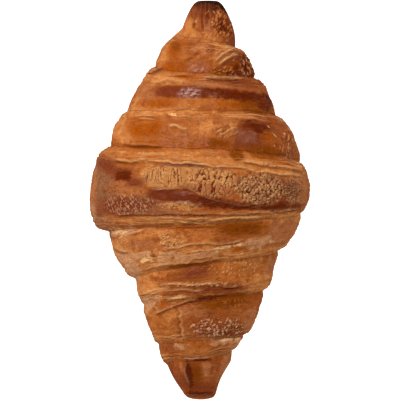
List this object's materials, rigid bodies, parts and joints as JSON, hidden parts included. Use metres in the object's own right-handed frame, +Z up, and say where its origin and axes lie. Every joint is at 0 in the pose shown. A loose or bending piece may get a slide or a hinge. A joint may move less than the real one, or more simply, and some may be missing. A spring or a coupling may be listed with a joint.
{
  "type": "croissant",
  "caption": "Straight butter croissant: a spindle of rolled flaky dough with stepped, overlapping turns, blunt tips and a flat base to rest on.",
  "frame": {"origin": "on the floor, under the middle of the croissant", "axes": "+Z up from the flat base, +Y along the roll towards the tip that the picture shows at the top, +X to the picture's right"},
  "size_m": [0.0878, 0.16, 0.0599],
  "materials": {
    "crust": "egg-washed flaky crust, golden to dark brown, satin with glossy patches"
  },
  "bodies": {
    "root": {"croissant": "crust"}
  },
  "joints": []
}
